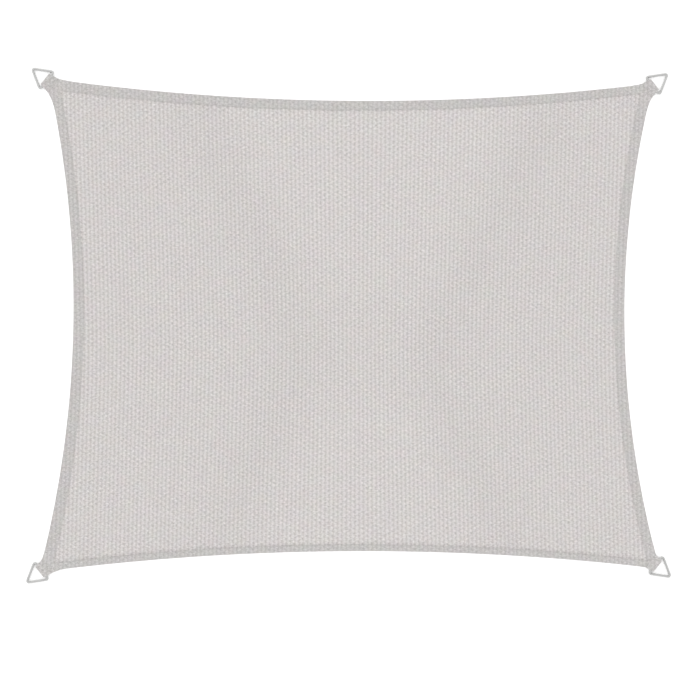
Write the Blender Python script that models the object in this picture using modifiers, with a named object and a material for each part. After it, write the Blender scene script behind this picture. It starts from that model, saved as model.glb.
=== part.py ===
"""Shade sail: a rectangular knitted sun shade with hemmed edges that bow inwards, and a wire triangle
at each corner.

Metres, +Z up. The sail lies face up on a surface at z = 0, with its long side along X. The origin is the
middle of the whole object's footprint, on that surface. The cloth is one piece: each corner is turned down
round the bar of its wire triangle and back under itself.
"""

from collections import namedtuple
from math import acos, atan2, cos, exp, hypot, pi, radians, sin, sqrt

import bmesh
import bpy

# ---- the sail's four bowed edges -------------------------------------------------------------
# middle: distance from the origin to the edge where it is bowed in most; deepest_at: where that is along the
# edge; rise: how far the edge has bowed out again 1 m from there; hem_start, hem_end: the hem's width at the
# edge's low and high end.
Edge = namedtuple("Edge", "along outward middle deepest_at rise hem_start hem_end")
EDGES = {
    "top": Edge("x", +1, 0.9277, 0.0855, 0.0527, 0.0445, 0.0360),
    "bottom": Edge("x", -1, 0.9311, 0.0590, 0.0483, 0.0290, 0.0270),
    "left": Edge("y", -1, 1.1358, 0.0773, 0.1172, 0.0480, 0.0380),
    "right": Edge("y", +1, 1.1388, 0.0475, 0.1311, 0.0410, 0.0420),
}
HALF_LENGTH = {"x": 1.25, "y": 1.00}  # where along an edge its hem widths are given

# ---- the four corners ------------------------------------------------------------------------
# x, y: middle of the ring's bar inside the cloth; heading: the way the ring points, in degrees from +X;
# flare: how far from the corner its narrow neck runs out into the bowed edges; slack: how far the fold
# stands off the bar.
Corner = namedtuple("Corner", "side_edge end_edge x y heading flare slack")
CORNERS = {
    "top_left": Corner("left", "top", -1.2443, 1.0107, 141.1, 0.135, 0.0050),
    "top_right": Corner("right", "top", 1.2544, 0.9886, 38.9, 0.115, 0.0052),
    "bottom_left": Corner("left", "bottom", -1.2666, -1.0108, 218.8, 0.110, 0.0045),
    "bottom_right": Corner("right", "bottom", 1.2666, -0.9869, -38.9, 0.085, 0.0048),
}

# ---- cloth -----------------------------------------------------------------------------------
HEM_THICKNESS = 0.0028  # the edge turned over and sewn down
CLOTH_THICKNESS = 0.0015
HEM_STEP = 0.002  # width over which the hem drops to the single layer
NECK_AT = 0.025  # distance in from the bar where the corner's fold begins
HALF_WIDTH_AT_BAR = 0.0295
NECK_TAPER = 0.19  # how much wider the neck gets, each side, for each metre further in
LAYER_GAP = 0.0005  # air between the sail and the end turned under it
TURNED_END_AT = 0.038  # how far in from the bar the turned end reaches
TURNED_HALF_WIDTH = 0.025
LIFT_LEVEL_TO = 0.055  # the corner lies on its turned end up to here, measured from the bar
LIFT_GONE_AT = 0.125  # and is down on the surface from here on
ARC_STEPS = 8  # facets of the fold's half turn round the bar
SLOPE_STEPS = 3

# ---- the soft folds --------------------------------------------------------------------------
SWELL_HEIGHT = 0.006  # how far the cloth lies clear of the surface between the troughs
SWELL_MARGIN = 0.22  # share of the panel over which the swell fades out towards a hem
TROUGH_WIDTH = 0.085  # half width of a trough
TROUGH_LEAN = 0.47  # sideways run of a trough for each metre away from the waist
WAIST_ROUNDING = 0.08
Trough = namedtuple("Trough", "waist_x waist_y lean")
TROUGHS = (Trough(-0.20, -0.10, -TROUGH_LEAN), Trough(0.37, -0.18, TROUGH_LEAN))

# ---- wire triangles --------------------------------------------------------------------------
WIRE_RADIUS = 0.0046
RING_SIDE = 0.0925  # between the points where the wire's straight centre lines would meet
RING_BEND = 0.0060  # centre line radius of its three corners
BAR_CLEARANCE = 0.00035
BEND_STEPS = 6
BAR_TO_CENTRE = RING_SIDE / (2 * sqrt(3))
BAR_TO_APEX = RING_SIDE * sqrt(3) / 2 - RING_BEND  # to the wire's centre line at its rounded tip
BAR_HEIGHT = CLOTH_THICKNESS + BAR_CLEARANCE + WIRE_RADIUS
FOLD_RADIUS = WIRE_RADIUS + BAR_CLEARANCE  # of the cloth's inner face round the bar
LIFT = CLOTH_THICKNESS + LAYER_GAP

# ---- mesh ------------------------------------------------------------------------------------
HEM_CELLS = 4
PANEL_COLUMNS = 30
PANEL_ROWS = 24
COLUMNS = PANEL_COLUMNS + 2 * (HEM_CELLS + 1)
ROWS = PANEL_ROWS + 2 * (HEM_CELLS + 1)

LINEAR_CLOTH = (0.642, 0.617, 0.604, 1.0)
LINEAR_STEEL = (0.56, 0.56, 0.55, 1.0)


def lerp(a, b, t):
    return tuple(p + (q - p) * t for p, q in zip(a, b))


def smooth(t):
    """0 below 0, 1 above 1, and a soft step between."""
    t = min(max(t, 0.0), 1.0)
    return t * t * (3 - 2 * t)


def in_plan(edge, along, across):
    return (along, across) if edge.along == "x" else (across, along)


# ---- corners in plan -------------------------------------------------------------------------
def ahead(corner):
    angle = radians(corner.heading)
    return cos(angle), sin(angle)


def at_corner(corner, inward, sideways):
    """The point this far in from the middle of the ring's bar, and this far to the left of its heading."""
    ux, uy = ahead(corner)
    return corner.x - inward * ux - sideways * uy, corner.y - inward * uy + sideways * ux


def neck_half_width(inward):
    return HALF_WIDTH_AT_BAR + NECK_TAPER * inward


def neck_end(corner, edge):
    """Where the straight neck ends on the side of this edge, and the way its border runs from there."""
    ux, uy = ahead(corner)
    outward_x, outward_y = in_plan(edge, 0.0, edge.outward)
    side = 1 if outward_x * -uy + outward_y * ux > 0 else -1
    start = at_corner(corner, NECK_AT, side * neck_half_width(NECK_AT))
    further = at_corner(corner, NECK_AT + 1, side * neck_half_width(NECK_AT + 1))
    return start, (further[0] - start[0], further[1] - start[1])


# ---- edges in plan ---------------------------------------------------------------------------
def bow(edge, along):
    """The bowed edge itself: its distance across, and its slope."""
    from_deepest = along - edge.deepest_at
    across = edge.outward * (edge.middle + edge.rise * from_deepest**2)
    return across, edge.outward * 2 * edge.rise * from_deepest


def hem_width(edge, along):
    half = HALF_LENGTH[edge.along]
    share = (along + half) / (2 * half)
    return edge.hem_start + (edge.hem_end - edge.hem_start) * share


def inset_point(edge, along, inset):
    """The point this far inside the bowed edge, square to it."""
    across, slope = bow(edge, along)
    length = hypot(1, slope)
    inset *= edge.outward / length
    return in_plan(edge, along + inset * slope, across - inset)


def flare_curve(edge, corner):
    """Start, pull and end of the curve that joins a corner's neck to the bowed edge."""
    start, (dx, dy) = neck_end(corner, edge)
    place = corner.x if edge.along == "x" else corner.y
    end_along = place - corner.flare if place > 0 else place + corner.flare
    across, slope = bow(edge, end_along)
    end = in_plan(edge, end_along, across)
    ex, ey = in_plan(edge, 1.0, slope)
    reach = ((end[0] - start[0]) * ey - (end[1] - start[1]) * ex) / (dx * ey - dy * ex)
    return start, (start[0] + reach * dx, start[1] + reach * dy), end


def on_curve(curve, t):
    return lerp(lerp(curve[0], curve[1], t), lerp(curve[1], curve[2], t), t)


def curve_share(edge, curve, along):
    """Where on a flare curve this place along the edge falls: 0 at the neck, 1 or more on the bowed edge."""
    axis = 0 if edge.along == "x" else 1
    low, high = 0.0, 1.0
    if (along - curve[2][axis]) * (curve[0][axis] - curve[2][axis]) <= 0:
        return 1.0
    for _ in range(40):
        middle = (low + high) / 2
        inside = (on_curve(curve, middle)[axis] - along) * (curve[0][axis] - curve[2][axis]) < 0
        low, high = (low, middle) if inside else (middle, high)
    return (low + high) / 2


def corner_of(edge_name, high_end):
    for corner in CORNERS.values():
        place = corner.x if EDGES[edge_name].along == "x" else corner.y
        if edge_name in (corner.side_edge, corner.end_edge) and (place > 0) == high_end:
            return corner
    return None


def border_point(edge_name, along):
    """A point of the cloth's outer border, beside this place along the edge."""
    edge = EDGES[edge_name]
    curve = flare_curve(edge, corner_of(edge_name, along > 0))
    share = curve_share(edge, curve, along)
    if share < 1.0:
        return on_curve(curve, share)
    return in_plan(edge, along, bow(edge, along)[0])


def crossing(end_name, side_name, extra):
    """Where the lines this far inside two hems meet: the place along the end edge and along the side edge."""
    end_edge, side_edge = EDGES[end_name], EDGES[side_name]
    a = side_edge.outward * side_edge.middle
    b = end_edge.outward * end_edge.middle
    for _ in range(60):
        p = inset_point(end_edge, a, hem_width(end_edge, a) + extra)
        q = inset_point(side_edge, b, hem_width(side_edge, b) + extra)
        a += q[0] - p[0]
        b += p[1] - q[1]
    return a, b


def crossings(extra):
    """For the four corners, by (right, top): where the lines inside the hems meet."""
    return {
        (right, top): crossing("top" if top else "bottom", "right" if right else "left", extra)
        for right in (False, True)
        for top in (False, True)
    }


HEM_CROSSINGS = crossings(0.0)
PANEL_CROSSINGS = crossings(HEM_STEP)


def coons(bottom, top, left, right, s, t):
    """A patch filled in between four border curves, each a function of 0 to 1 that gives a point."""
    corners = (bottom(0), bottom(1), top(0), top(1))
    return tuple(
        (1 - t) * bottom(s)[k] + t * top(s)[k] + (1 - s) * left(t)[k] + s * right(t)[k]
        - (1 - s) * (1 - t) * corners[0][k] - s * (1 - t) * corners[1][k]
        - (1 - s) * t * corners[2][k] - s * t * corners[3][k]
        for k in (0, 1)
    )


def panel_along(edge_name, share):
    """The place along an edge of this share of the panel's width or length."""
    if EDGES[edge_name].along == "x":
        top = edge_name == "top"
        low, high = PANEL_CROSSINGS[False, top][0], PANEL_CROSSINGS[True, top][0]
    else:
        right = edge_name == "right"
        low, high = PANEL_CROSSINGS[right, False][1], PANEL_CROSSINGS[right, True][1]
    return low + (high - low) * share


def panel_border(edge_name):
    edge = EDGES[edge_name]

    def point(share):
        along = panel_along(edge_name, share)
        return inset_point(edge, along, hem_width(edge, along) + HEM_STEP)

    return point


def panel_point(s, t):
    return coons(*(panel_border(name) for name in ("bottom", "top", "left", "right")), s, t)


def hem_point(edge_name, along, depth):
    """A point of a hem, from its border at depth 0 to its inner line at depth 1."""
    edge = EDGES[edge_name]
    return lerp(border_point(edge_name, along), inset_point(edge, along, hem_width(edge, along)), depth)


def corner_point(right, top, s, t):
    """A point where two hems meet. s runs from the neck along the end edge, and t along the side edge."""
    end_name, side_name = ("top" if top else "bottom"), ("right" if right else "left")
    corner = corner_of(end_name, right)
    end_along, side_along = HEM_CROSSINGS[right, top]
    middle = at_corner(corner, NECK_AT, 0)

    def border(edge_name, along):
        edge = EDGES[edge_name]
        curve = flare_curve(edge, corner)
        last = curve_share(edge, curve, along)
        first = 1 / HEM_CELLS

        def point(share):
            if share <= first:
                return lerp(middle, curve[0], share / first)
            return on_curve(curve, last * (share - first) / (1 - first))

        return point

    return coons(
        border(end_name, end_along),
        lambda share: hem_point(side_name, side_along, share),
        border(side_name, side_along),
        lambda share: hem_point(end_name, end_along, share),
        s,
        t,
    )


def plan_point(column, row):
    """The place in plan of one point of the sail's grid."""
    from_right, from_top = COLUMNS - column, ROWS - row
    right, top = from_right < column, from_top < row
    in_column, in_row = min(column, from_right), min(row, from_top)
    s = (column - HEM_CELLS - 1) / PANEL_COLUMNS
    t = (row - HEM_CELLS - 1) / PANEL_ROWS
    if in_column > HEM_CELLS and in_row > HEM_CELLS:
        return panel_point(s, t)
    if in_column <= HEM_CELLS and in_row <= HEM_CELLS:
        return corner_point(right, top, in_column / HEM_CELLS, in_row / HEM_CELLS)
    if in_row <= HEM_CELLS:
        name = "top" if top else "bottom"
        return hem_point(name, panel_along(name, s), in_row / HEM_CELLS)
    name = "right" if right else "left"
    return hem_point(name, panel_along(name, t), in_column / HEM_CELLS)


# ---- heights ---------------------------------------------------------------------------------
def trough_line(trough, y):
    from_waist = hypot(y - trough.waist_y, WAIST_ROUNDING) - WAIST_ROUNDING
    return trough.waist_x + trough.lean * from_waist


def swell(x, y, s, t):
    """Height of the cloth's underside: soft swells, parted by two troughs that lean in to a waist."""
    fade = smooth(min(s, 1 - s) / SWELL_MARGIN) * smooth(min(t, 1 - t) / SWELL_MARGIN)
    in_trough = sum(exp(-(((x - trough_line(trough, y)) / TROUGH_WIDTH) ** 2)) for trough in TROUGHS)
    return SWELL_HEIGHT * fade * max(0.0, 1 - in_trough)


def corner_lift(x, y):
    """A corner lies on its own turned end, so it is a little up from the surface."""
    nearest = min(hypot(x - corner.x, y - corner.y) for corner in CORNERS.values())
    return LIFT * (1 - smooth((nearest - LIFT_LEVEL_TO) / (LIFT_GONE_AT - LIFT_LEVEL_TO)))


def fold_path(slack):
    """The inner face from the neck, over the bar, round it and back under, as rows of (inward, height)."""
    away = hypot(NECK_AT, LIFT - BAR_HEIGHT)
    leaves_bar = atan2(LIFT - BAR_HEIGHT, NECK_AT) + acos(FOLD_RADIUS / away)
    touch = (FOLD_RADIUS * cos(leaves_bar), BAR_HEIGHT + FOLD_RADIUS * sin(leaves_bar))
    path = [lerp((NECK_AT, LIFT), touch, (k + 1) / SLOPE_STEPS) for k in range(SLOPE_STEPS)]
    for k in range(ARC_STEPS + 1):
        angle = pi / 2 + pi * k / ARC_STEPS
        path.append((FOLD_RADIUS * cos(angle) - slack, BAR_HEIGHT + FOLD_RADIUS * sin(angle)))
    path.append((TURNED_END_AT / 2, CLOTH_THICKNESS))
    path.append((TURNED_END_AT, CLOTH_THICKNESS))
    return path


# ---- objects ---------------------------------------------------------------------------------
def clear_scene():
    for obj in list(bpy.data.objects):
        bpy.data.objects.remove(obj, do_unlink=True)


def new_collection(name):
    collection = bpy.data.collections.new(name)
    bpy.context.scene.collection.children.link(collection)
    return collection


def material(name, colour, roughness, metallic):
    made = bpy.data.materials.new(name)
    made.use_nodes = True
    shader = made.node_tree.nodes["Principled BSDF"]
    shader.inputs["Base Color"].default_value = colour
    shader.inputs["Roughness"].default_value = roughness
    shader.inputs["Metallic"].default_value = metallic
    return made


def move_to(collection, obj):
    for old in list(obj.users_collection):
        old.objects.unlink(obj)
    collection.objects.link(obj)


def fold_corner(bm, corner, edges):
    """Extrudes the end of a corner row by row round the bar of its ring, and back under the sail."""
    ux, uy = ahead(corner)
    half_width = neck_half_width(NECK_AT)
    passed_bar = False
    for inward, height in fold_path(corner.slack):
        passed_bar = passed_bar or inward < 0
        new_half_width = TURNED_HALF_WIDTH if passed_bar and inward > 0 else neck_half_width(inward)
        made = bmesh.ops.extrude_edge_only(bm, edges=edges)["geom"]
        edges = [item for item in made if isinstance(item, bmesh.types.BMEdge)]
        for vert in (item for item in made if isinstance(item, bmesh.types.BMVert)):
            sideways = (vert.co.y - corner.y) * ux - (vert.co.x - corner.x) * uy
            place = at_corner(corner, inward, sideways / half_width * new_half_width)
            vert.co = (*place, height)
        half_width = new_half_width


def sail_cloth(collection, cloth):
    """The panel with its hems, and the four corners folded round the rings' bars."""
    bpy.ops.mesh.primitive_grid_add(x_subdivisions=COLUMNS, y_subdivisions=ROWS, size=1)
    obj = bpy.context.active_object
    obj.name = obj.data.name = "sail_cloth"
    move_to(collection, obj)
    bm = bmesh.new()
    bm.from_mesh(obj.data)
    layer = bm.verts.layers.deform.verify()
    at, hem = {}, []
    for vert in bm.verts:
        column, row = round((vert.co.x + 0.5) * COLUMNS), round((vert.co.y + 0.5) * ROWS)
        at[column, row] = vert
        x, y = plan_point(column, row)
        s = (column - HEM_CELLS - 1) / PANEL_COLUMNS
        t = (row - HEM_CELLS - 1) / PANEL_ROWS
        vert.co = (x, y, max(corner_lift(x, y), swell(x, y, s, t)))
        depth = min(column, row, COLUMNS - column, ROWS - row)
        beside_fold = min(column, COLUMNS - column) + min(row, ROWS - row) <= 1
        if depth <= HEM_CELLS and not beside_fold:
            hem.append(vert)
    for corner in CORNERS.values():
        column = COLUMNS if corner.x > 0 else 0
        row = ROWS if corner.y > 0 else 0
        tip = at[column, row]
        beside = (at[abs(column - 1), row], at[column, abs(row - 1)])
        fold_corner(bm, corner, [bm.edges.get((tip, other)) for other in beside])
    bmesh.ops.recalc_face_normals(bm, faces=bm.faces)
    middle_face = at[COLUMNS // 2, ROWS // 2].link_faces[0]
    if middle_face.normal.z < 0:
        bmesh.ops.reverse_faces(bm, faces=bm.faces)
    group = obj.vertex_groups.new(name="layers")
    for vert in bm.verts:
        vert[layer][group.index] = CLOTH_THICKNESS / HEM_THICKNESS
    for vert in hem:
        vert[layer][group.index] = 1.0
    bm.to_mesh(obj.data)
    bm.free()
    thickness = obj.modifiers.new("cloth thickness", "SOLIDIFY")
    thickness.thickness = HEM_THICKNESS
    thickness.offset = 1
    thickness.vertex_group = group.name
    thickness.use_even_offset = True
    obj.data.materials.append(cloth)
    return obj


def ring(collection, name, corner, steel):
    """A wire triangle with rounded corners. One bar lies in the cloth's fold, and the far tip droops to the
    surface."""
    curve = bpy.data.curves.new(name, "CURVE")
    curve.dimensions = "3D"
    curve.bevel_depth = WIRE_RADIUS
    curve.bevel_resolution = 4
    points = []
    for tip in range(3):
        direction = 2 * pi * tip / 3
        tip_distance = RING_SIDE / sqrt(3) - 2 * RING_BEND
        for step in range(BEND_STEPS + 1):
            angle = direction + pi * (2 * step / BEND_STEPS - 1) / 3
            points.append(
                (
                    BAR_TO_CENTRE + tip_distance * cos(direction) + RING_BEND * cos(angle),
                    tip_distance * sin(direction) + RING_BEND * sin(angle),
                )
            )
    spline = curve.splines.new("POLY")
    spline.points.add(len(points) - 1)
    for point, (x, y) in zip(spline.points, points):
        point.co = (x, y, 0, 1)
    spline.use_cyclic_u = True
    obj = bpy.data.objects.new(name, curve)
    collection.objects.link(obj)
    obj.location = (corner.x, corner.y, BAR_HEIGHT)
    droop = atan2(BAR_HEIGHT - WIRE_RADIUS, BAR_TO_APEX)
    obj.rotation_euler = (0, droop, radians(corner.heading))
    curve.materials.append(steel)
    return obj


def main():
    clear_scene()
    collection = new_collection("shade_sail")
    cloth = material("knitted polyethylene", LINEAR_CLOTH, roughness=0.85, metallic=0.0)
    steel = material("stainless steel wire", LINEAR_STEEL, roughness=0.3, metallic=1.0)
    sail_cloth(collection, cloth)
    for name, corner in CORNERS.items():
        ring(collection, f"ring_{name}", corner, steel)


main()
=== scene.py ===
"""Looks of a rectangular shade sail of knitted polyethylene, which lies face up on a pale studio floor.

Metres, +Z up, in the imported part's own frame: the sail's long side runs along X, and the origin is the
middle of its footprint. The cloth is a ribbed knitted panel whose turned and sewn hem runs round all four
bowed edges and folds round the bar of a wire triangle at each corner.
"""

import logging
from dataclasses import dataclass, field
from enum import Enum
from functools import partial
from math import acos, atan2, ceil, cos, exp, hypot, pi, radians, sin, sqrt, tanh
from typing import Callable

import bmesh
import bpy
from mathutils import Matrix, Vector


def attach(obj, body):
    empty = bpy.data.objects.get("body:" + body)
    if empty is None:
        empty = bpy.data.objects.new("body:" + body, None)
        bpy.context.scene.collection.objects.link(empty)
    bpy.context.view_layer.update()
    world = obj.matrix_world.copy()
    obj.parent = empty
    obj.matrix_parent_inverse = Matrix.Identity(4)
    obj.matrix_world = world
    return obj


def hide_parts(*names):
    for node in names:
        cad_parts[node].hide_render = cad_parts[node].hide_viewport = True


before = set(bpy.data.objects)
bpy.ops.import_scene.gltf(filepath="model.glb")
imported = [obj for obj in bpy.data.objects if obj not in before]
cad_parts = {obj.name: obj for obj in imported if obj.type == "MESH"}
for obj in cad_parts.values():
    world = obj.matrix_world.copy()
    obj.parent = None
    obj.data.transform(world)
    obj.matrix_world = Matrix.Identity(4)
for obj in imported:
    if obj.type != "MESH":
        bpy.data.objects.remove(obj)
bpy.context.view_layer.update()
LOG = logging.getLogger("shade_sail")

Point = tuple[float, float]
Place = tuple[float, float, float]
Curve = tuple[Point, Point, Point]
Colour = tuple[float, float, float, float]
Object = bpy.types.Object
Material = bpy.types.Material
Node = bpy.types.Node
Adder = Callable[..., Node]
Mesh = bmesh.types.BMesh
Vert = bmesh.types.BMVert

WHITE: Colour = (1.0, 1.0, 1.0, 1.0)
MIX_FROM, MIX_TO = 6, 7  # the second and third sockets of a Mix node that mixes colours
HALVINGS = 40  # of a span, to find a place on a curve
CROSSING_STEPS = 60  # until the place where two hems cross no longer moves
LEAN_STEPS = 6  # until a place among the leaning ribs no longer moves
WAIST_ROUNDING = 0.08  # metres over which troughs and ribs turn at their waist


# ---- small helpers ----
def lerp(start: Point, end: Point, share: float) -> Point:
    """The point this share of the way from start to end."""
    return start[0] + (end[0] - start[0]) * share, start[1] + (end[1] - start[1]) * share


def smooth(share: float) -> float:
    """0 below 0, 1 above 1, and a soft step between."""
    share = min(max(share, 0.0), 1.0)
    return share * share * (3 - 2 * share)


def run_from(waist: float, y: float) -> float:
    """How far up or down a trough or a rib has run from its waist, where it turns softly."""
    return hypot(y - waist, WAIST_ROUNDING) - WAIST_ROUNDING


def linear(hex_colour: str) -> Colour:
    """Turns an sRGB hex colour to the linear values that a shader takes.

    Args:
        hex_colour: six hex digits, such as "D8D4D0".

    Returns:
        Red, green, blue and an alpha of 1.
    """
    shares = (int(hex_colour[start:start + 2], 16) / 255 for start in (0, 2, 4))
    red, green, blue = (c / 12.92 if c <= 0.04045 else ((c + 0.055) / 1.055) ** 2.4 for c in shares)
    return red, green, blue, 1.0


def assign(thing: bpy.types.bpy_struct, **settings: object) -> None:
    """Sets the properties of a node, a modifier or other data, by name."""
    for name, value in settings.items():
        setattr(thing, name, value)


def feed(node: Node, inputs: dict[str | int, object]) -> None:
    """Gives a node its inputs.

    Args:
        node: the node.
        inputs: by name or number a value, an output, or a node whose first output in use is taken.
    """
    for key, value in inputs.items():
        if isinstance(value, Node):
            value = next(output for output in value.outputs if output.enabled)
        if isinstance(value, bpy.types.NodeSocket):
            node.id_data.links.new(value, node.inputs[key])
        else:
            node.inputs[key].default_value = value


def add_node(
    tree: bpy.types.NodeTree, kind: str, inputs: dict[str | int, object] | None = None, **settings: object
) -> Node:
    """Adds a node with its settings and links.

    Args:
        tree: the node tree.
        kind: the node's type, less the word ShaderNode that it starts with.
        inputs: its inputs, as feed takes them.
        settings: the node's own settings, by name.

    Returns:
        The new node.
    """
    node = tree.nodes.new(f"ShaderNode{kind}")
    assign(node, **settings)
    feed(node, inputs or {})
    return node


def new_material(name: str) -> tuple[Material, Adder, Node]:
    """Adds a material.

    Args:
        name: its name.

    Returns:
        The material, the function that adds nodes to it, and its Principled shader.
    """
    made = bpy.data.materials.new(name)
    made.use_nodes = True
    return made, partial(add_node, made.node_tree), made.node_tree.nodes["Principled BSDF"]


def add_object(name: str, operator: Callable[..., object], **options: object) -> Object:
    """Adds an object.

    Args:
        name: its name, and its data's.
        operator: the operator that adds it.
        options: the operator's options.

    Returns:
        The object, which alone is selected.
    """
    bpy.ops.object.select_all(action="DESELECT")
    operator(**options)
    added = bpy.context.active_object
    added.name = added.data.name = name
    return added


def add_modifier(obj: Object, name: str, kind: str, **settings: object) -> None:
    """Adds a modifier with its settings."""
    assign(obj.modifiers.new(name, kind), **settings)


def apply_modifiers(obj: Object) -> None:
    """Applies an object's modifiers, first to last.

    Args:
        obj: the object.
    """
    bpy.context.view_layer.objects.active = obj
    for name in [modifier.name for modifier in obj.modifiers]:
        bpy.ops.object.modifier_apply(modifier=name)


class Piece:
    """A sub-assembly that is modelled and dressed as one piece, or as one at each corner."""

    @staticmethod
    def dress(obj: Object, material: Material, slot: str, *nodes: str) -> None:
        """Gives the finished mesh its material, its body and the CAD nodes that it stands for.

        Args:
            obj: the finished mesh.
            material: its only material.
            slot: the record's material slot; not used.
            nodes: the CAD nodes that the piece replaces.
        """
        obj.data.materials.clear()
        obj.data.materials.append(material)
        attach(obj, "root")
        if nodes:
            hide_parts(*nodes)
        LOG.info("%s: %d faces", obj.name, len(obj.data.polygons))


# ---- plan of the sail ----
class Axis(Enum):
    """The axis that an edge of the sail runs along."""

    X = 0
    Y = 1


@dataclass(frozen=True)
class BowedEdge:
    """One edge of the sail, bowed inwards, with its hem."""

    axis: Axis  # along which the edge runs
    outward: int  # +1 or -1, the way out of the sail along the other axis
    middle: float  # distance from the origin to the edge where it is bowed in most
    deepest_at: float  # where that is along the edge
    rise: float  # how far the edge has bowed out again 1 m from there
    hem_start: float  # the hem's width at the edge's low end
    hem_end: float  # the hem's width at its high end
    half_length: float  # how far from the origin those ends are, along the edge

    def in_plan(self, along: float, across: float) -> Point:
        """X and Y of a place that is given along and across the edge."""
        return (along, across) if self.axis is Axis.X else (across, along)

    def bow(self, along: float) -> Point:
        """The bowed line: its distance across, and its slope."""
        past = along - self.deepest_at
        return self.outward * (self.middle + self.rise * past**2), self.outward * 2 * self.rise * past

    def hem_width(self, along: float) -> float:
        """The hem's width at this place along the edge."""
        share = (along + self.half_length) / (2 * self.half_length)
        return self.hem_start + (self.hem_end - self.hem_start) * share

    def inset(self, along: float, inset: float) -> Point:
        """A point inside the bowed line.

        Args:
            along: the place along the edge from which it lies square in.
            inset: how far in.

        Returns:
            X and Y.
        """
        across, slope = self.bow(along)
        inset *= self.outward / hypot(1, slope)
        return self.in_plan(along + inset * slope, across - inset)

    def under_hem(self, along: float, share: float) -> float:
        """Distance across at which a line runs this share of the hem's width in from the bowed line."""
        return self.bow(along)[0] - self.outward * self.hem_width(along) * share


@dataclass(frozen=True)
class SailCorner:
    """One corner of the sail, where the cloth is folded round the bar of a wire triangle."""

    side: str  # name of the edge that leaves the corner along Y
    end: str  # name of the edge that leaves it along X
    x: float  # X of the middle of the wire triangle's bar
    y: float  # Y of the same point
    heading: float  # the way the triangle points, in degrees from +X
    flare: float  # how far from the corner its narrow neck runs out into the bowed edges
    slack: float  # how far the fold stands off the bar

    @property
    def direction(self) -> Point:
        """The heading, as a step of 1 m."""
        return cos(radians(self.heading)), sin(radians(self.heading))

    def at(self, inward: float, sideways: float) -> Point:
        """The point this far in from the bar's middle, and this far to the left of the heading."""
        ux, uy = self.direction
        return self.x - inward * ux - sideways * uy, self.y - inward * uy + sideways * ux

    def sideways_of(self, x: float, y: float) -> float:
        """How far a point is to the left of the heading."""
        ux, uy = self.direction
        return (y - self.y) * ux - (x - self.x) * uy

    def distance(self, x: float, y: float) -> float:
        """How far a point is from the bar's middle."""
        return hypot(x - self.x, y - self.y)


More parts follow.
